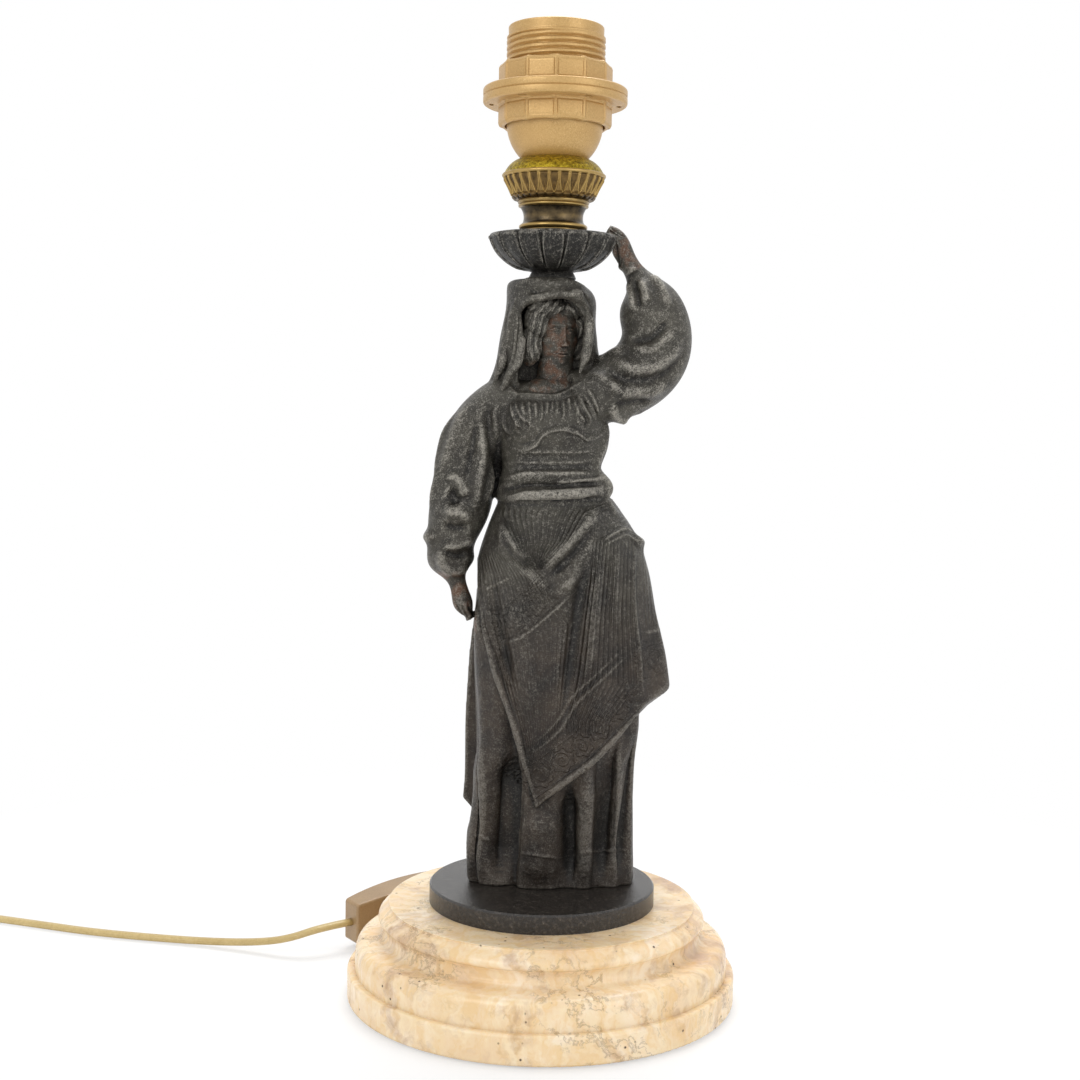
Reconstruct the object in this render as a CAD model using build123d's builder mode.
"""Figural table lamp: a draped woman in cast metal carries a bowl and a lampholder on a turned marble foot.

Millimetres, +Z up, front towards -Y. The origin is on the lamp's axis, on the surface it stands on.
"""
import os
from math import cos, degrees, exp, hypot, pi, radians, sin, tan

from build123d import *

os.makedirs("parts", exist_ok=True)

# ---------------------------------------------------------------- driving dimensions
# marble foot and plinth
felt_radius = 74.0
felt_thickness = 1.0
foot_radius = 79.7
foot_thickness = 11.9
foot_round = 1.2
step_radius = 76.6
step_height = 4.2
cove_radius = 65.2
lip_radius = 67.0
moulding_height = 26.9
plinth_radius = 46.3
plinth_height = 7.7
plinth_chamfer = 0.7

# threaded rod and what it clamps
rod_radius = 5.0
rod_bore_radius = 4.0
rod_clearance = 0.3
recess_radius = 16.0
recess_depth = 12.0
washer_radius = 13.5
washer_thickness = 1.5
nut_radius = 9.8
nut_height = 3.0
rod_end_length = 1.5
rod_in_holder = 8.0

# the figure, stacked on the plinth
skirt_height = 157.5
bodice_height = 48.0
head_height = 40.7
neck_wall = 1.9
head_turn = 25.0
casting_wall = 3.0
hollow_share = 0.94
ring_points = 60

# bowl, spool, leaf cup and brass cap
bowl_height = 17.8
bowl_rim_radius = 25.4
bowl_neck_radius = 8.1
bowl_foot_radius = 9.5
bowl_wall = 2.2
bowl_floor = 9.5
bowl_ribs = 16
bowl_rib_height = 0.7
bowl_rib_angle = 4.0
spool_height = 22.3
spool_top_radius = 14.0
spool_waist_radius = 12.0
spool_ring_radius = 13.7
spool_ring_height = 2.2
cup_height = 10.0
cup_bottom_radius = 15.9
cup_rim_radius = 20.7
cap_height = 5.9
cap_top_radius = 13.4

# lampholder
dome_height = 15.0
dome_bottom_radius = 13.2
dome_top_radius = 19.2
dome_wall = 1.8
sleeve_height = 36.6
thread_radius = 19.8
sleeve_lip_radius = 19.5
sleeve_lip_height = 4.0
sleeve_wall = 2.2
socket_radius = 13.3
socket_depth = 25.0
barrel_wall = 1.8
block_height = 9.0
block_recess_radius = 12.0
block_recess_depth = 4.2
contact_strip_width = 5.0
contact_strip_thickness = 0.5
leaf_rise = 2.6
screw_head_radius = 2.4
screw_head_height = 1.4
fit_clearance = 0.3

# shade rings
ring_flange_radius = 28.7
ring_flange_thickness = 3.2
ring_band_radius = 22.0
ring_upper_band = 9.0
ring_lower_band = 8.5
ring_seat = 9.3
ring_facets = 12
vent_count = 8
vent_radius = 1.1

# cord, its bush, the inline switch, the coil and the plug
cord_radius = 2.0
cord_exit_angle = 62.0
cord_exit_height = 7.2
cord_bend_radius = 9.0
bush_radius = 3.8
bush_flange_radius = 5.0
bush_flange = 1.8
bush_length = 14.0
switch_length = 90.0
switch_heading = 35.2
switch_corner = (-81.1, 44.1)
switch_end_width = 17.8
switch_middle_width = 26.0
switch_end_thickness = 11.0
switch_middle_thickness = 17.5
switch_back_thickness = 6.0
switch_wall = 1.8
rocker_length = 16.0
rocker_width = 12.0
rocker_depth = 4.2
rocker_rise = 1.6
rocker_foot = 2.2
rocker_tilt = 8.0
rocker_gap = 0.9
rocker_side_gap = 0.4
rocker_pin_radius = 1.2
running_clearance = 0.05
switch_screw_radius = 1.3
switch_screw_inset = 8.5
switch_terminal = (9.0, 6.0, 3.5)
switch_terminal_reach = 18.0
coil_turns = 4
coil_inner_radius = 15.0
coil_pitch = 4.6
coil_lift = 4.5
coil_dip = 0.9
coil_centre = (-322.0, 122.0)
plug_length = 36.0
plug_width = 35.0
plug_thickness = 13.6
plug_tail_radius = 4.5
plug_tail_length = 8.0
plug_heading = 200.0
plug_tail_end = (-373.0, 77.5)
pin_radius = 2.0
pin_length = 19.0
pin_spacing = 18.6

# ---------------------------------------------------------------- levels on the axis
foot_top = felt_thickness + foot_thickness
marble_top = foot_top + moulding_height
plinth_top = marble_top + plinth_height
waist_level = plinth_top + skirt_height
neck_level = waist_level + bodice_height
bowl_bottom = neck_level + head_height
bowl_rim = bowl_bottom + bowl_height
spool_bottom = bowl_bottom + bowl_floor
spool_top = spool_bottom + spool_height
cup_top = spool_top + cup_height
cap_top = cup_top + cap_height
dome_top = cap_top + dome_height
sleeve_top = dome_top + sleeve_height
recess_top = foot_top + recess_depth
rod_bottom = recess_top - washer_thickness - nut_height - rod_end_length
rod_top = cap_top + rod_in_holder
rod_hole = rod_radius + rod_clearance
ON_BASE = (Align.CENTER, Align.CENTER, Align.MIN)


def save(builder, node):
    builder.part.label = node
    export_step(builder.part, f"parts/{node}.step")


def tube(bottom, height, outer, inner):
    """A plain ring of the lamp's axis, as an object to place in a builder."""
    with BuildPart(Plane.XY.offset(bottom), mode=Mode.PRIVATE) as ring:
        Cylinder(outer, height, align=ON_BASE)
        if inner:
            Cylinder(inner, height, align=ON_BASE, mode=Mode.SUBTRACT)
    return ring.part


# ---------------------------------------------------------------- marble foot
with BuildPart() as felt_pad:
    Cylinder(felt_radius, felt_thickness, align=ON_BASE)
    Cylinder(recess_radius, felt_thickness, align=ON_BASE, mode=Mode.SUBTRACT)
save(felt_pad, "felt_pad")

exit_direction = Vector(1, 0, 0).rotate(Axis.Z, cord_exit_angle)
exit_plane = Plane(origin=(0, 0, cord_exit_height), x_dir=(0, 0, 1), z_dir=exit_direction)

with BuildPart(Plane.XY.offset(felt_thickness)) as marble_foot:
    Cylinder(foot_radius, foot_thickness, align=ON_BASE)
    fillet(marble_foot.edges().filter_by(GeomType.CIRCLE), foot_round)
    Cylinder(recess_radius, foot_thickness, align=ON_BASE, mode=Mode.SUBTRACT)
    with BuildSketch(exit_plane):
        Circle(bush_radius + fit_clearance)
    extrude(amount=foot_radius + foot_round, mode=Mode.SUBTRACT)
save(marble_foot, "marble_foot")

# the moulding above the joint: ledge, ogee, cove and a lip with a soft upper edge
with BuildPart() as marble_moulding:
    with BuildSketch(Plane.XZ):
        with BuildLine():
            ledge_top = foot_top + step_height
            cove_foot = ledge_top + 0.45 * (marble_top - ledge_top)
            lip_foot = marble_top - 0.29 * moulding_height
            outline = Polyline((0, foot_top), (step_radius, foot_top), (step_radius, ledge_top))
            ogee = Spline(
                outline @ 1,
                (0.5 * (step_radius + cove_radius) + 2.6, ledge_top + 0.33 * (marble_top - ledge_top)),
                (cove_radius, cove_foot),
                tangents=((0, 1), (-0.25, 1)),
            )
            cove = ThreePointArc(
                ogee @ 1, (cove_radius - 0.7, 0.5 * (cove_foot + lip_foot)), (cove_radius, lip_foot)
            )
            lip = Spline(
                cove @ 1,
                (lip_radius, lip_foot + 2.4),
                (lip_radius - 4.5, marble_top - 0.9),
                (lip_radius - 13, marble_top),
                tangents=((1, 0.3), (-1, 0)),
            )
            Polyline(lip @ 1, (0, marble_top), (0, foot_top))
        make_face()
    revolve(axis=Axis.Z)
    add(tube(foot_top, recess_depth, recess_radius, 0), mode=Mode.SUBTRACT)
    add(tube(foot_top, moulding_height, rod_hole, 0), mode=Mode.SUBTRACT)
save(marble_moulding, "marble_moulding")

with BuildPart(Plane.XY.offset(marble_top)) as plinth:
    Cylinder(plinth_radius, plinth_height, align=ON_BASE)
    chamfer(plinth.edges().group_by(Axis.Z)[-1], plinth_chamfer)
    Cylinder(rod_hole, plinth_height, align=ON_BASE, mode=Mode.SUBTRACT)
save(plinth, "plinth")


# ---------------------------------------------------------------- cast figure
# A ring of drapery: height as a share of its piece, then how far it reaches left, right, front and back
# of the axis, and how deep its folds are as a share of their full depth.
skirt_rings = (
    (0.00, 30.5, 38.6, 12.5, 36.5, 1.0),
    (0.08, 30.5, 38.4, 13.5, 35.5, 1.0),
    (0.20, 28.5, 38.2, 17.0, 34.0, 1.0),
    (0.34, 28.5, 38.4, 20.0, 31.5, 0.9),
    (0.48, 29.0, 38.6, 21.5, 29.5, 0.6),
    (0.62, 29.5, 39.5, 22.5, 27.0, 0.3),
    (0.76, 28.5, 39.0, 22.5, 24.5, 0.2),
    (0.87, 26.0, 37.0, 20.5, 21.5, 0.1),
    (0.95, 22.0, 31.0, 18.5, 18.0, 0.0),
    (1.00, 20.0, 25.6, 16.5, 15.5, 0.0),
)
apron_rings = (
    (0.10, 35.5, 49.5, 18.0, 38.5, 0.3),
    (0.22, 35.0, 50.5, 20.5, 38.0, 0.3),
    (0.36, 34.5, 51.0, 23.0, 37.0, 0.3),
    (0.52, 33.5, 50.6, 24.8, 35.0, 0.3),
    (0.62, 32.0, 48.0, 25.2, 32.5, 0.2),
    (0.76, 30.5, 43.8, 24.8, 28.5, 0.1),
    (0.87, 27.6, 39.0, 22.6, 24.0, 0.0),
    (0.95, 23.4, 32.6, 19.8, 19.6, 0.0),
    (1.00, 20.2, 25.8, 16.7, 15.7, 0.0),
)
bodice_rings = (
    (0.00, 20.8, 26.6, 17.5, 16.0, 0.0),
    (0.10, 21.2, 25.6, 17.5, 15.5, 0.0),
    (0.19, 20.6, 23.6, 16.8, 14.5, 0.0),
    (0.26, 20.6, 20.8, 15.5, 13.6, 0.0),
    (0.40, 21.2, 22.0, 16.0, 13.6, 0.0),
    (0.56, 22.0, 23.4, 18.4, 14.0, 0.0),
    (0.70, 22.4, 22.6, 18.0, 14.4, 0.0),
    (0.84, 21.6, 19.8, 13.5, 14.0, 0.0),
    (0.94, 18.0, 15.5, 10.0, 12.5, 0.0),
    (1.00, 13.0, 11.0, 8.0, 10.0, 0.0),
)
veil_rings = (
    (-0.20, 27.5, 17.0, 4.0, 19.0, 0.0),
    (0.00, 24.8, 15.5, 8.0, 18.0, 0.0),
    (0.18, 22.2, 17.0, 11.0, 17.0, 0.0),
    (0.40, 20.8, 18.6, 13.0, 16.5, 0.0),
    (0.64, 18.9, 17.8, 14.5, 15.5, 0.0),
    (0.82, 18.2, 17.5, 15.5, 14.5, 0.0),
    (0.94, 18.0, 13.5, 13.5, 13.0, 0.0),
    (1.00, 14.5, 8.8, 10.0, 10.0, 0.0),
)


# valleys between the skirt's folds: where, in degrees from the figure's left hand side, how deep, how wide
fold_valleys = (
    (-158, 2.5, 7), (-121, 6.5, 8), (-74, 3.4, 5), (-50, 4.0, 6), (-27, 2.2, 6), (-4, 2.6, 7), (20, 3.4, 8),
    (45, 3.8, 8), (68, 3.0, 7), (92, 4.6, 8), (116, 3.4, 7), (140, 3.8, 8), (165, 2.8, 7),
)


deepest_fold = max(depth for _, depth, _ in fold_valleys[2:])


def folds(angle):
    """How far the cloth falls back at an angle, for the folds' full depth."""
    return sum(
        depth * exp(-((((degrees(angle) - place + 180) % 360 - 180) / width) ** 2))
        for place, depth, width in fold_valleys
    )


def ring_outline(ring, grow):
    """Points of one ring, from the back round through the left side to the front and on."""
    _, left, right, front, back, depth = ring
    points = []
    for step in range(ring_points):
        angle = 2 * pi * step / ring_points + pi / 2
        across = right if cos(angle) > 0 else left
        along = back if sin(angle) > 0 else front
        x, y = (across + grow) * cos(angle), (along + grow) * sin(angle)
        reach = 1 - depth * folds(angle) / hypot(x, y)
        points.append((reach * x, reach * y))
    return points


def drape(rings, base, height, grow=0.0):
    """Lofts rings into one solid, as an object to place in a builder."""
    with BuildPart(mode=Mode.PRIVATE) as cloth:
        for ring in rings:
            with BuildSketch(Plane.XY.offset(base + ring[0] * height)):
                with BuildLine():
                    Spline(*ring_outline(ring, grow), periodic=True)
                make_face()
        loft()
    return cloth.part


# hem of the apron seen from the front, and of its longer fall behind
apron_front = (
    (-29, 1.00), (-29, 0.90), (-28, 0.80), (-25, 0.68), (-20.5, 0.57), (-13.5, 0.455), (-8.5, 0.35),
    (-3, 0.225), (6.5, 0.28), (19.5, 0.345), (29.5, 0.415), (40.5, 0.49), (51, 0.54), (62, 0.58), (62, 1.00),
)
apron_back = (
    (62, 1.00), (62, 0.60), (49, 0.535), (40, 0.49), (20, 0.41), (-10, 0.27), (-27, 0.165), (-45, 0.28), (-45, 1.00),
)
apron_split = 8.0
apron_reach = 60.0


def hem_prism(outline, start, end):
    """The space in front view above a hem, between two depths."""
    with BuildPart(mode=Mode.PRIVATE) as space:
        with BuildSketch(Plane.XZ.offset(-start)):
            with BuildLine():
                Polyline(*[(x, plinth_top + share * skirt_height) for x, share in outline], close=True)
            make_face()
        extrude(amount=start - end)
    return space.part


with BuildPart() as figure_skirt:
    add(drape(skirt_rings, plinth_top, skirt_height))
    with BuildPart(mode=Mode.PRIVATE) as apron:
        add(drape(apron_rings, plinth_top, skirt_height))
        with BuildPart(mode=Mode.PRIVATE) as fall:
            add(hem_prism(apron_front, -apron_reach, apron_split))
            add(hem_prism(apron_back, apron_split, apron_reach))
        add(fall.part, mode=Mode.INTERSECT)
    add(apron.part)
    hollow_rings = [(hollow_share * share, *reaches, 0.0) for share, *reaches, _ in skirt_rings[::3]]
    add(drape(hollow_rings, plinth_top, skirt_height, grow=-deepest_fold - casting_wall), mode=Mode.SUBTRACT)
    add(tube(plinth_top, skirt_height, rod_hole, 0), mode=Mode.SUBTRACT)
save(figure_skirt, "figure_skirt")

with BuildPart() as figure_bodice:
    add(drape(bodice_rings, waist_level, bodice_height))
    add(tube(waist_level, bodice_height, rod_hole, 0), mode=Mode.SUBTRACT)
save(figure_bodice, "figure_bodice")

# head: a neck round the rod, a plain turned head and the folded cloth on it, open round the face
head_rings = (
    (0.00, 2.6, 2.6, 8.2, 3.0, 0.0),
    (0.08, 4.6, 4.6, 9.8, 5.0, 0.0),
    (0.25, 6.4, 6.4, 10.5, 8.0, 0.0),
    (0.50, 7.6, 7.6, 10.2, 10.5, 0.0),
    (0.75, 7.9, 7.9, 9.4, 11.0, 0.0),
    (0.92, 6.6, 6.6, 7.0, 9.0, 0.0),
    (1.00, 5.8, 5.8, 5.8, 6.5, 0.0),
)
chin_level = neck_level + 0.14 * head_height
face_height = 0.74 * head_height
window_top = neck_level + 0.83 * head_height
window_side = 13.0
window_depth = 60.0

with BuildPart() as head_and_veil:
    add(drape(veil_rings, neck_level, head_height))
    with BuildSketch(Plane.XZ.offset(-1)):
        with BuildLine():
            sill = Polyline(
                (window_side, window_top - 9),
                (window_side, neck_level - head_height),
                (-window_side, neck_level - head_height),
                (-window_side, window_top - 9),
            )
            ThreePointArc(sill @ 1, (0, window_top), sill @ 0)
        make_face()
    extrude(amount=window_depth, mode=Mode.SUBTRACT)
    add(drape(head_rings, chin_level, face_height).rotate(Axis.Z, head_turn))
    add(tube(neck_level, 0.5 * head_height, rod_hole + neck_wall, 0))
    add(figure_bodice.part, mode=Mode.SUBTRACT)
    add(tube(neck_level - head_height, 2 * head_height, rod_hole, 0), mode=Mode.SUBTRACT)
save(head_and_veil, "head_and_veil")


# ---------------------------------------------------------------- bowl, spool, leaf cup, cap
bowl_neck = bowl_bottom + 0.19 * bowl_height
bowl_side = (
    (bowl_neck_radius, bowl_neck),
    (0.77 * bowl_rim_radius, bowl_bottom + 0.44 * bowl_height),
    (0.94 * bowl_rim_radius, bowl_bottom + 0.68 * bowl_height),
    (bowl_rim_radius, bowl_rim),
)
with BuildPart(mode=Mode.PRIVATE) as bowl_rib:
    with BuildSketch(Plane.XZ.rotated((0, 0, -0.5 * bowl_rib_angle))):
        with BuildLine():
            inner = Spline(*bowl_side, tangents=((1, 0.2), (0.1, 1)))
            outer = Spline(
                inner @ 0,
                *[(radius + bowl_rib_height, level - bowl_rib_height) for radius, level in bowl_side[1:-1]],
                (bowl_rim_radius + bowl_rib_height, bowl_rim),
                tangents=((1, 0), (0.1, 1)),
            )
            Line(outer @ 1, inner @ 1)
        make_face()
    revolve(axis=Axis.Z, revolution_arc=bowl_rib_angle)

with BuildPart() as bowl:
    with BuildSketch(Plane.XZ):
        with BuildLine():
            Line((bowl_foot_radius, bowl_bottom), bowl_side[0])
            stem = Spline(*bowl_side, tangents=((1, 0.2), (0.1, 1)))
            rim = Line(stem @ 1, (bowl_rim_radius - bowl_wall, bowl_rim))
            dish = ThreePointArc(
                rim @ 1,
                (0.8 * bowl_rim_radius, 0.5 * (spool_bottom + bowl_rim) - 0.5),
                (spool_ring_radius + 1.5, spool_bottom),
            )
            Polyline(dish @ 1, (0, spool_bottom), (0, bowl_bottom), (bowl_foot_radius, bowl_bottom))
        make_face()
    revolve(axis=Axis.Z)
    with PolarLocations(0, bowl_ribs):
        add(bowl_rib.part)
    add(tube(bowl_bottom, bowl_height, rod_hole, 0), mode=Mode.SUBTRACT)
save(bowl, "bowl")

with BuildPart() as spool_collar:
    with BuildSketch(Plane.XZ):
        with BuildLine():
            ring_bottom = spool_bottom + 0.46 * spool_height
            ring_top = ring_bottom + spool_ring_height
            foot = Polyline(
                (rod_hole, spool_bottom), (spool_waist_radius, spool_bottom), (spool_waist_radius, ring_bottom)
            )
            bead = ThreePointArc(
                foot @ 1, (spool_ring_radius, 0.5 * (ring_bottom + ring_top)), (spool_waist_radius + 0.6, ring_top)
            )
            flank = Spline(
                bead @ 1,
                (spool_waist_radius, 0.5 * (ring_top + spool_top) - 1),
                (spool_top_radius, spool_top),
                tangents=((-0.3, 1), (0.9, 1)),
            )
            Polyline(flank @ 1, (rod_hole, spool_top), (rod_hole, spool_bottom))
        make_face()
    revolve(axis=Axis.Z)
save(spool_collar, "spool_collar")

with BuildPart() as leaf_cup:
    with BuildSketch(Plane.XZ):
        with BuildLine():
            flare = Spline(
                (cup_bottom_radius, spool_top),
                (0.5 * (cup_bottom_radius + cup_rim_radius) + 0.5, 0.5 * (spool_top + cup_top) - 0.6),
                (cup_rim_radius, cup_top - 1.2),
            )
            Polyline(
                flare @ 1,
                (cup_rim_radius, cup_top),
                (rod_hole, cup_top),
                (rod_hole, spool_top),
                (cup_bottom_radius, spool_top),
            )
        make_face()
    revolve(axis=Axis.Z)
save(leaf_cup, "leaf_cup")

with BuildPart() as brass_cap:
    with BuildSketch(Plane.XZ):
        with BuildLine():
            crown = ThreePointArc(
                (cup_rim_radius - 0.8, cup_top),
                (0.5 * (cup_rim_radius + cap_top_radius) + 0.6, 0.5 * (cup_top + cap_top) + 0.5),
                (cap_top_radius, cap_top),
            )
            Polyline(crown @ 1, (rod_hole, cap_top), (rod_hole, cup_top), (cup_rim_radius - 0.8, cup_top))
        make_face()
    revolve(axis=Axis.Z)
save(brass_cap, "brass_cap")

# ---------------------------------------------------------------- the rod and its fasteners
draw_rod = BuildPart()
with draw_rod:
    add(tube(rod_bottom, rod_top - rod_bottom, rod_radius, rod_bore_radius))
save(draw_rod, "draw_rod")

with BuildPart() as rod_washer:
    add(tube(recess_top - washer_thickness, washer_thickness, washer_radius, rod_hole))
save(rod_washer, "rod_washer")

with BuildPart(Plane.XY.offset(recess_top - washer_thickness - nut_height)) as rod_nut:
    with BuildSketch():
        RegularPolygon(nut_radius, 6)
        Circle(rod_radius, mode=Mode.SUBTRACT)
    extrude(amount=nut_height)
save(rod_nut, "rod_nut")

# ---------------------------------------------------------------- lampholder
with BuildPart() as holder_cap:
    with BuildSketch(Plane.XZ):
        with BuildLine():
            side = ThreePointArc(
                (dome_bottom_radius, cap_top),
                (0.5 * (dome_bottom_radius + dome_top_radius) + 1.4, cap_top + 0.42 * dome_height),
                (dome_top_radius, dome_top),
            )
            shoulder = Line(side @ 1, (dome_top_radius - dome_wall, dome_top))
            inside = ThreePointArc(
                shoulder @ 1,
                (0.5 * (dome_bottom_radius + dome_top_radius) + 1.4 - dome_wall, cap_top + 0.5 * dome_height),
                (dome_bottom_radius - 1.2, cap_top + 2 * dome_wall),
            )
            Polyline(
                inside @ 1,
                (rod_radius, cap_top + 2 * dome_wall),
                (rod_radius, cap_top),
                (dome_bottom_radius, cap_top),
            )
        make_face()
    revolve(axis=Axis.Z)
save(holder_cap, "holder_cap")

with BuildPart() as holder_sleeve:
    add(tube(dome_top, sleeve_height - sleeve_lip_height, thread_radius, thread_radius - sleeve_wall))
    add(tube(sleeve_top - sleeve_lip_height, sleeve_lip_height, sleeve_lip_radius, thread_radius - sleeve_wall))
save(holder_sleeve, "holder_sleeve")

# the insulating block sits in the foot of the sleeve, and the inner barrel stands on it
block_radius = thread_radius - sleeve_wall - fit_clearance
block_top = dome_top + block_height
barrel_radius = socket_radius + barrel_wall
leaf_root = 8.0
leaf_half_width = 2.5
leaf_thickness = 0.5
leaf_level = block_top - block_recess_depth + 0.2
terminal_reach = 8.6
terminal_bore = 1.4
strip_level = block_top - 3.0
strip_seat = socket_radius + 0.5 * (fit_clearance + contact_strip_thickness)

with BuildPart() as strip_slot:
    with BuildSketch(Plane.XY.offset(strip_level)):
        with Locations((0, strip_seat)):
            Rectangle(contact_strip_width + fit_clearance, contact_strip_thickness + fit_clearance)
    extrude(amount=0.6 * socket_depth + fit_clearance)

with BuildPart() as contact_block:
    add(tube(dome_top, block_height, block_radius, 0))
    add(tube(block_top - block_recess_depth, block_recess_depth, block_recess_radius, 0), mode=Mode.SUBTRACT)
    add(tube(dome_top, block_height, cord_radius + fit_clearance, 0), mode=Mode.SUBTRACT)
    with BuildSketch(Plane.XY.offset(dome_top)):
        with Locations((0, terminal_reach), (0, -terminal_reach)):
            Circle(terminal_bore)
    extrude(amount=block_height, mode=Mode.SUBTRACT)
    add(strip_slot.part, mode=Mode.SUBTRACT)
save(contact_block, "contact_block")

with BuildPart() as socket_barrel:
    add(tube(block_top, socket_depth, barrel_radius, socket_radius))
    add(strip_slot.part, mode=Mode.SUBTRACT)
save(socket_barrel, "socket_barrel")

with BuildPart() as terminal_screws:
    with BuildSketch(Plane.XY.offset(dome_top - screw_head_height)):
        with Locations((0, terminal_reach), (0, -terminal_reach)):
            Circle(screw_head_radius)
    extrude(amount=screw_head_height)
    with BuildSketch(Plane.XY.offset(dome_top)):
        with Locations((0, terminal_reach), (0, -terminal_reach)):
            Circle(terminal_bore - 0.5 * fit_clearance)
    extrude(amount=block_height - block_recess_depth - 0.5)
save(terminal_screws, "terminal_screws")

# the side contact is a strip let into the barrel's wall, the centre contact a leaf that bows under the bulb
with BuildPart() as shell_contact:
    with BuildSketch(Plane.XY.offset(strip_level + 0.5 * fit_clearance)):
        with Locations((0, strip_seat)):
            Rectangle(contact_strip_width, contact_strip_thickness)
    extrude(amount=0.6 * socket_depth)
save(shell_contact, "shell_contact")

with BuildPart() as centre_contact:
    with BuildSketch(Plane.XZ.offset(-leaf_half_width)):
        with BuildLine():
            Polyline(
                (leaf_root, leaf_level),
                (leaf_root, leaf_level + leaf_thickness),
                (-0.3 * leaf_root, leaf_level + leaf_rise + leaf_thickness),
                (-0.6 * leaf_root, leaf_level + leaf_rise - 0.4 + leaf_thickness),
                (-0.6 * leaf_root, leaf_level + leaf_rise - 0.4),
                (-0.3 * leaf_root, leaf_level + leaf_rise),
                close=True,
            )
        make_face()
    extrude(amount=2 * leaf_half_width)
save(centre_contact, "centre_contact")

# shade rings: a flanged band each, flange to flange, running on the sleeve's thread
ring_bore = thread_radius + fit_clearance
ring_part_level = dome_top + ring_seat
vent_circle = 0.5 * (ring_band_radius + ring_flange_radius) + 0.4


def shade_ring(side, band_height):
    """A ring whose flange starts at the part line and whose band stands away from it."""
    flange_bottom = ring_part_level if side > 0 else ring_part_level - ring_flange_thickness
    band_bottom = ring_part_level if side > 0 else ring_part_level - band_height
    with BuildPart(mode=Mode.PRIVATE) as ring:
        add(tube(flange_bottom, ring_flange_thickness, ring_flange_radius, 0))
        fillet(ring.edges().filter_by(GeomType.CIRCLE), 0.6)
        with BuildSketch(Plane.XY.offset(band_bottom)):
            RegularPolygon(ring_band_radius / cos(pi / ring_facets), ring_facets)
        extrude(amount=band_height)
        add(tube(ring_part_level - 30, 60, ring_bore, 0), mode=Mode.SUBTRACT)
        with BuildSketch(Plane.XY.offset(flange_bottom)):
            with PolarLocations(vent_circle, vent_count):
                Circle(vent_radius)
        extrude(amount=ring_flange_thickness, mode=Mode.SUBTRACT)
    return ring.part


with BuildPart() as shade_ring_upper:
    add(shade_ring(1, ring_flange_thickness + ring_upper_band))
save(shade_ring_upper, "shade_ring_upper")

with BuildPart() as shade_ring_lower:
    add(shade_ring(-1, ring_flange_thickness + ring_lower_band))
save(shade_ring_lower, "shade_ring_lower")

# ---------------------------------------------------------------- cord inside the lamp and its bush
along_exit = Vector(cos(radians(cord_exit_angle)), sin(radians(cord_exit_angle)), 0)
bush_end = foot_radius + bush_flange
cord_exit = along_exit * bush_end + Vector(0, 0, cord_exit_height)

with BuildPart() as inner_cord:
    with BuildLine() as route:
        FilletPolyline((0, 0, dome_top - 0.5), (0, 0, cord_exit_height), cord_exit, radius=cord_bend_radius)
    with BuildSketch(Plane(origin=(0, 0, dome_top - 0.5), z_dir=(0, 0, -1))):
        Circle(cord_radius)
    sweep(path=route.line)
save(inner_cord, "inner_cord")

with BuildPart() as cord_bush:
    with BuildSketch(exit_plane.offset(foot_radius - bush_length)):
        Circle(bush_radius)
    extrude(amount=bush_length)
    with BuildSketch(exit_plane.offset(foot_radius)):
        Circle(bush_flange_radius)
    extrude(amount=bush_flange)
    with BuildSketch(exit_plane.offset(foot_radius - bush_length)):
        Circle(cord_radius)
    extrude(amount=bush_length + bush_flange, mode=Mode.SUBTRACT)
save(cord_bush, "cord_bush")


# ---------------------------------------------------------------- inline switch, lying on its narrow side
def local_point(x, y, z):
    """A point of the switch's own frame: along it, down, and away from its flat back."""
    return switch_plane.from_local_coords(Vector(x, y, z))


heading = radians(switch_heading)
switch_plane = Plane(
    origin=(*switch_corner, 0.5 * switch_middle_width),
    x_dir=(cos(heading), sin(heading), 0),
    z_dir=(-sin(heading), cos(heading), 0),
)
half_length = 0.5 * switch_length
rocker_centre = (half_length, 0)
rocker_level = switch_middle_thickness - rocker_depth


with BuildSketch() as switch_leaf:
    with BuildLine():
        end, middle = 0.5 * switch_end_width, 0.5 * switch_middle_width
        lower = ThreePointArc((0, -end), (half_length, -middle), (switch_length, -end))
        far = Line(lower @ 1, (switch_length, end))
        upper = ThreePointArc(far @ 1, (half_length, middle), (0, end))
        Line(upper @ 1, lower @ 0)
    make_face()

with BuildPart() as switch_back_shell:
    with BuildSketch(switch_plane):
        add(switch_leaf.sketch)
    extrude(amount=switch_back_thickness)
    fillet(switch_back_shell.edges().filter_by(Axis((0, 0, 0), switch_plane.z_dir)), 1.6)
    fillet(switch_back_shell.faces().sort_by(Axis((0, 0, 0), switch_plane.z_dir))[0].edges(), 1.2)
    with BuildSketch(switch_plane.offset(switch_wall)):
        with Locations(rocker_centre):
            Rectangle(0.62 * switch_length, 0.6 * switch_end_width)
    extrude(amount=switch_back_thickness, mode=Mode.SUBTRACT)
    with BuildSketch(switch_plane):
        with Locations((switch_screw_inset, 0), (switch_length - switch_screw_inset, 0)):
            Circle(switch_screw_radius)
    extrude(amount=switch_back_thickness, mode=Mode.SUBTRACT)
save(switch_back_shell, "switch_back_shell")

pin_length_across = rocker_width + 5.0
across_plane = Plane(
    origin=local_point(half_length, 0.5 * pin_length_across, rocker_level),
    x_dir=switch_plane.x_dir,
    z_dir=-switch_plane.y_dir,
)
with BuildPart() as rocker_pin:
    with BuildSketch(across_plane):
        Circle(rocker_pin_radius)
    extrude(amount=pin_length_across)
save(rocker_pin, "rocker_pin")

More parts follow.
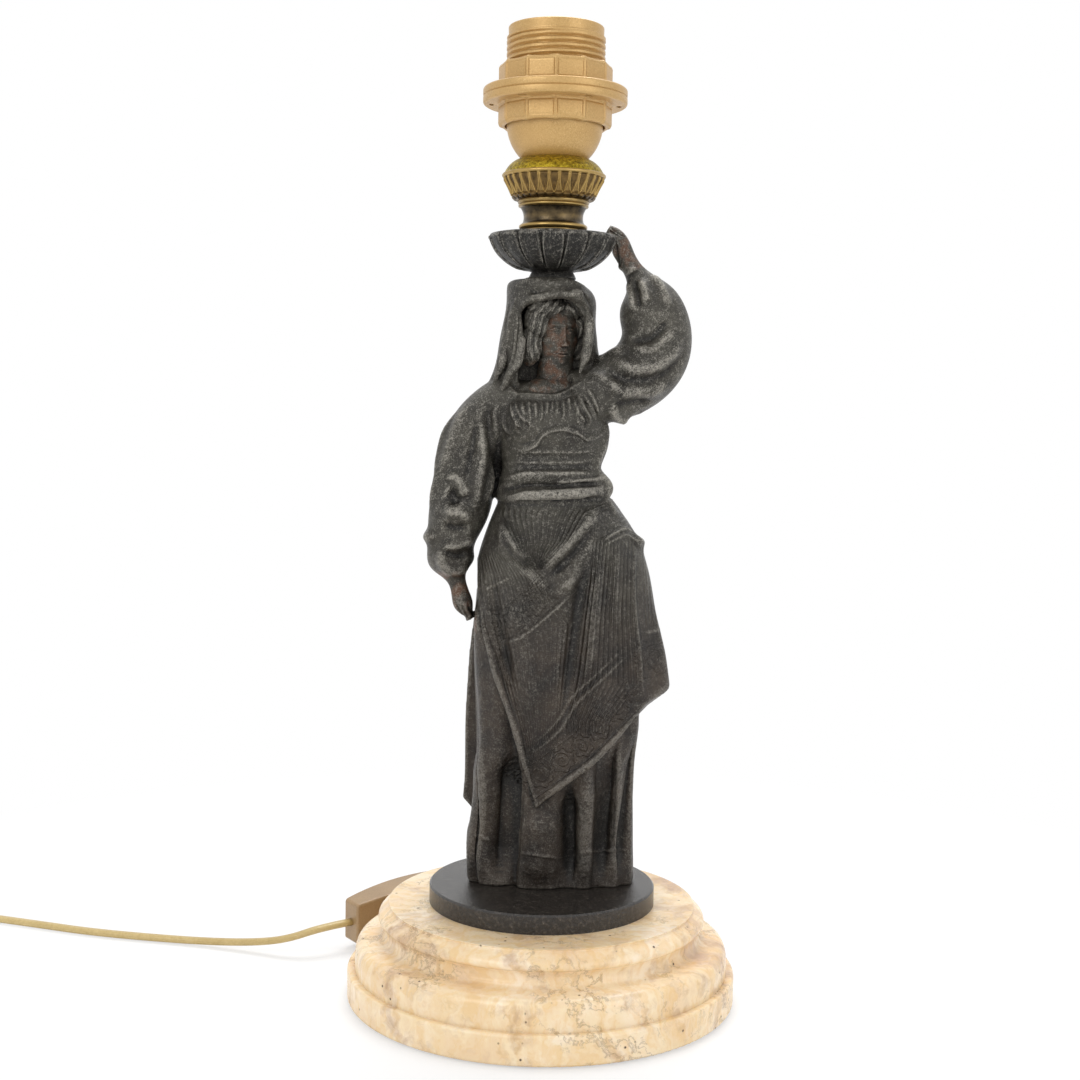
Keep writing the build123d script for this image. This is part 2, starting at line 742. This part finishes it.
side_plane = Plane(
    origin=local_point(0, switch_middle_width, 0), x_dir=switch_plane.x_dir, z_dir=-switch_plane.y_dir
)
with BuildPart() as switch_front_shell:
    with BuildSketch(switch_plane.offset(switch_back_thickness)):
        add(switch_leaf.sketch)
    extrude(amount=switch_middle_thickness)
    fillet(switch_front_shell.edges().filter_by(Axis((0, 0, 0), switch_plane.z_dir)), 1.6)
    with BuildSketch(side_plane):
        with BuildLine():
            belly = ThreePointArc(
                (0, switch_end_thickness), (half_length, switch_middle_thickness), (switch_length, switch_end_thickness)
            )
            Polyline(belly @ 1, (switch_length, 0), (0, 0), (0, switch_end_thickness))
        make_face()
    extrude(amount=2 * switch_middle_width, mode=Mode.INTERSECT)
    with BuildSketch(switch_plane.offset(switch_back_thickness)):
        with Locations(rocker_centre):
            Rectangle(0.62 * switch_length, 0.6 * switch_end_width)
    extrude(amount=switch_end_thickness - switch_back_thickness - 0.5, mode=Mode.SUBTRACT)
    with BuildSketch(switch_plane.offset(switch_back_thickness)):
        with Locations(rocker_centre):
            Rectangle(rocker_length + 2 * rocker_gap, rocker_width + 2 * rocker_side_gap)
    extrude(amount=switch_middle_thickness, mode=Mode.SUBTRACT)
    with BuildSketch(switch_plane.offset(switch_back_thickness)):
        with Locations((switch_screw_inset, 0), (switch_length - switch_screw_inset, 0)):
            Circle(switch_screw_radius)
    extrude(amount=0.5 * (switch_end_thickness - switch_back_thickness), mode=Mode.SUBTRACT)
    add(rocker_pin.part, mode=Mode.SUBTRACT)
save(switch_front_shell, "switch_front_shell")


# the rocker, tipped to one end of its travel on the pin across the switch
rocker_plane = across_plane.offset(0.5 * (pin_length_across - rocker_width)).rotated((0, 0, rocker_tilt))
with BuildPart() as switch_rocker:
    with BuildSketch(rocker_plane):
        with BuildLine():
            crest = rocker_depth + rocker_rise
            walls = Polyline(
                (-0.5 * rocker_length, crest),
                (-0.5 * rocker_length, -0.4 * rocker_foot),
                (-0.3 * rocker_length, -rocker_foot),
                (0.3 * rocker_length, -rocker_foot),
                (0.5 * rocker_length, -0.4 * rocker_foot),
                (0.5 * rocker_length, crest),
            )
            ThreePointArc(walls @ 1, (0, crest - 1.1), walls @ 0)
        make_face()
        Circle(rocker_pin_radius + running_clearance, mode=Mode.SUBTRACT)
    extrude(amount=rocker_width)
save(switch_rocker, "switch_rocker")

with BuildPart() as switch_terminals:
    with BuildSketch(switch_plane.offset(switch_wall)):
        with Locations((half_length - switch_terminal_reach, 0), (half_length + switch_terminal_reach, 0)):
            Rectangle(switch_terminal[0], switch_terminal[1])
    extrude(amount=switch_terminal[2])
save(switch_terminals, "switch_terminals")

with BuildPart() as switch_screws:
    with BuildSketch(switch_plane.offset(0.5)):
        with Locations((switch_screw_inset, 0), (switch_length - switch_screw_inset, 0)):
            Circle(switch_screw_radius)
    extrude(amount=switch_back_thickness)
save(switch_screws, "switch_screws")


# ---------------------------------------------------------------- free cord: a loop to the switch, then away
def turn_radii(points):
    """The largest arc that the two runs at each corner allow."""
    radii = []
    for before, corner, after in zip(points, points[1:], points[2:]):
        arriving, leaving = corner - before, after - corner
        turn = radians(arriving.get_angle(leaving))
        radii.append(0.45 * min(arriving.length, leaving.length) / tan(0.5 * turn))
    return radii


def laid_cord(node, points):
    """A round cord along straight runs joined by tangent arcs; prints its radii, length and volumes."""
    radii = turn_radii(points)
    with BuildPart() as laid:
        with BuildLine() as route:
            FilletPolyline(*points, radius=radii)
        with BuildSketch(Plane(origin=points[0], z_dir=points[1] - points[0])):
            Circle(cord_radius)
        sweep(path=route.line)
    length = sum(edge.length for edge in route.edges())
    print(f"{node}: length {length:.1f}, radii", [round(radius, 1) for radius in radii])
    print(f"{node}: volume {laid.part.volume:.1f}, section times length {pi * cord_radius**2 * length:.1f}")
    save(laid, node)


switch_cord_depth = 0.5 * switch_end_thickness
near_entry = local_point(0, 0, switch_cord_depth)
far_entry = local_point(switch_length, 0, switch_cord_depth)
lead_out_points = [
    cord_exit,
    cord_exit + along_exit * 18,
    Vector(41, 114, 3.4),
    Vector(18.5, 120, 5.6),
    far_entry + switch_plane.x_dir * 17,
    far_entry,
]
laid_cord("cord_lead_out", lead_out_points)

coil_in, coil_climb = 2 * pi * coil_turns, pi
coil_out = 2 * pi * coil_turns + pi


def coil_point(travel):
    """Clockwise from the south point: spirals in, climbs a layer in half a turn, spirals out above."""
    climbed = min(max((travel - coil_in) / coil_climb, 0), 1)
    inward = max(coil_in - travel, 0)
    outward = max(travel - coil_in - coil_climb, 0)
    radius = coil_inner_radius + coil_pitch * (inward + outward) / (2 * pi) - coil_dip * sin(pi * climbed)
    lift = coil_lift * climbed * climbed * (3 - 2 * climbed)
    angle = -0.5 * pi - travel
    return Vector(coil_centre[0] + radius * cos(angle), coil_centre[1] + radius * sin(angle), cord_radius + lift)


def coil_heading(travel):
    return (coil_point(travel + 0.001) - coil_point(travel - 0.001)).normalized()


def biarc_middle(start, start_heading, end, end_heading):
    """Where two tangent arcs from start to end meet."""
    chord, headings = end - start, start_heading + end_heading
    spread = 2 * (1 - start_heading.dot(end_heading))
    reach = (-chord.dot(headings) + (chord.dot(headings) ** 2 + spread * chord.dot(chord)) ** 0.5) / spread
    return 0.5 * ((start + start_heading * reach) + (end - end_heading * reach))


quarter_turns = round((coil_in + coil_climb + coil_out) / (0.5 * pi))
coil_marks = [0.5 * pi * step for step in range(quarter_turns + 1)]
coil_start, coil_end = coil_point(0), coil_point(coil_marks[-1])
coil_entry = coil_start - coil_heading(0.001) * 2 * cord_radius
coil_leave = coil_end + coil_heading(coil_marks[-1] - 0.001) * 2 * cord_radius

with BuildPart() as cord_coil:
    with BuildLine() as turns:
        Line(coil_entry, coil_start)
        for here, there in zip(coil_marks, coil_marks[1:]):
            start, end = coil_point(here), coil_point(there)
            middle = biarc_middle(start, coil_heading(here), end, coil_heading(there))
            first = TangentArc(start, middle, tangent=coil_heading(here))
            TangentArc(middle, end, tangent=first % 1)
        Line(coil_end, coil_leave)
    with BuildSketch(Plane(origin=coil_entry, z_dir=coil_start - coil_entry)):
        RegularPolygon(cord_radius, 8)
    sweep(path=turns.line)
coil_samples = [(travel, coil_point(travel)) for travel in [0.1 * step for step in range(int(10 * coil_marks[-1]))]]
coil_gap = min(
    (one - other).length
    for here, one in coil_samples
    for there, other in coil_samples
    if there - here > 1.5
) - 2 * cord_radius
print(f"cord_coil: length {sum(edge.length for edge in turns.edges()):.1f}, least gap to itself {coil_gap:.2f}")
save(cord_coil, "cord_coil")

run_points = [
    near_entry,
    near_entry - switch_plane.x_dir * 15,
    Vector(-111, 38.5, 8.0),
    Vector(-127, 44, 4.4),
    Vector(-150, 50.5, 2.3),
    Vector(-178, 56, 2.0),
    Vector(-205, 62, 2.0),
    Vector(-232, 71.5, 2.0),
    Vector(-260, 81, 2.0),
    coil_entry - (coil_start - coil_entry).normalized() * 28,
    coil_entry,
]
laid_cord("cord_run", run_points)

plug_direction = Vector(cos(radians(plug_heading)), sin(radians(plug_heading)), 0)
plug_tail = Vector(*plug_tail_end, 0.5 * plug_thickness)
tail_points = [
    coil_leave,
    coil_leave + (coil_leave - coil_end).normalized() * 15,
    plug_tail - plug_direction * 17,
    plug_tail,
]
laid_cord("cord_tail", tail_points)

# ---------------------------------------------------------------- flat two-pin plug
plug_plane = Plane(origin=(*plug_tail_end, 0), x_dir=plug_direction, z_dir=(0, 0, 1))
plug_face = plug_tail_length + plug_length
with BuildPart() as plug_body:
    with BuildSketch(plug_plane):
        with BuildLine():
            Polyline(
                (plug_tail_length, -plug_tail_radius - 1),
                (plug_tail_length + 0.55 * plug_length, -0.5 * plug_width),
                (plug_face, -0.5 * plug_width),
                (plug_face, 0.5 * plug_width),
                (plug_tail_length + 0.55 * plug_length, 0.5 * plug_width),
                (plug_tail_length, plug_tail_radius + 1),
                close=True,
            )
        make_face()
    extrude(amount=plug_thickness)
    fillet(plug_body.edges().filter_by(Axis.Z), 2.0)
    with BuildSketch(Plane(origin=plug_tail, z_dir=plug_direction)):
        Circle(plug_tail_radius)
    extrude(amount=plug_tail_length + 3)
save(plug_body, "plug_body")

pin_plane = Plane(
    origin=plug_plane.from_local_coords(Vector(plug_face, 0, 0.5 * plug_thickness)),
    x_dir=plug_plane.y_dir,
    z_dir=plug_direction,
)
with BuildPart() as plug_pins:
    with BuildSketch(pin_plane):
        with Locations((-0.5 * pin_spacing, 0), (0.5 * pin_spacing, 0)):
            Circle(pin_radius)
    extrude(amount=pin_length)
    fillet(plug_pins.faces().sort_by(Axis((0, 0, 0), plug_direction))[-2:].edges(), 0.8)
save(plug_pins, "plug_pins")


# ---------------------------------------------------------------- arms, soldered to the body
# Stations run from the shoulder: x, depth, share of the way up or down, heading, half width, half depth.
shoulder_level = waist_level + 0.86 * bodice_height
raised_reach = bowl_rim + 2.5 - shoulder_level
raised_stations = (
    (10, 0, 0.00, 12, 10.0, 10.5),
    (24, 0, 0.05, 38, 13.3, 12.5),
    (35, 1, 0.15, 42, 14.2, 13.0),
    (42, 1, 0.31, 68, 14.6, 12.5),
    (41.5, 1, 0.48, 96, 13.8, 11.5),
    (38, 0, 0.62, 110, 10.6, 9.0),
    (33.8, 0, 0.74, 118, 4.6, 4.6),
    (31.0, 0, 0.80, 120, 3.8, 3.6),
    (27.6, 0, 0.89, 122, 4.2, 3.6),
    (24.6, 0, 0.96, 130, 3.8, 4.4),
    (21.8, 0, 1.00, 150, 2.0, 4.0),
)
hand_level = plinth_top + 0.69 * skirt_height
lowered_reach = shoulder_level - hand_level
lowered_stations = (
    (-13, 0, 0.00, 205, 9.5, 10.0),
    (-25, 0, 0.09, 232, 11.5, 11.5),
    (-32, 1, 0.25, 256, 12.2, 12.0),
    (-34.5, 1, 0.42, 259, 12.3, 12.5),
    (-37.5, 1, 0.56, 258, 11.4, 12.0),
    (-39.4, 1, 0.68, 266, 9.4, 10.0),
    (-38.6, 0, 0.77, 280, 7.6, 7.6),
    (-37.2, -1, 0.81, 288, 4.4, 4.4),
    (-35.4, -2, 0.88, 290, 3.9, 3.8),
    (-33.4, -2, 0.95, 292, 3.6, 4.2),
    (-31.6, -2, 1.00, 292, 1.8, 2.8),
)


def arm(stations, start, reach):
    """Lofts ellipses square to a bent centre line."""
    with BuildPart(mode=Mode.PRIVATE) as sleeve:
        for x, depth, share, heading, half_width, half_depth in stations:
            ahead = (cos(radians(heading)), 0, sin(radians(heading)))
            with BuildSketch(Plane(origin=(x, depth, start + share * reach), x_dir=(0, 1, 0), z_dir=ahead)):
                Ellipse(half_depth, half_width)
        loft()
    return sleeve.part


with BuildPart() as raised_arm:
    add(arm(raised_stations, shoulder_level, raised_reach))
    add(figure_bodice.part, mode=Mode.SUBTRACT)
    add(head_and_veil.part, mode=Mode.SUBTRACT)
    add(bowl.part, mode=Mode.SUBTRACT)
    add(tube(waist_level, bowl_rim - waist_level, rod_hole, 0), mode=Mode.SUBTRACT)
save(raised_arm, "raised_arm")

with BuildPart() as lowered_arm:
    add(arm(lowered_stations, shoulder_level, -lowered_reach))
    add(figure_bodice.part, mode=Mode.SUBTRACT)
    add(figure_skirt.part, mode=Mode.SUBTRACT)
    add(head_and_veil.part, mode=Mode.SUBTRACT)
save(lowered_arm, "lowered_arm")
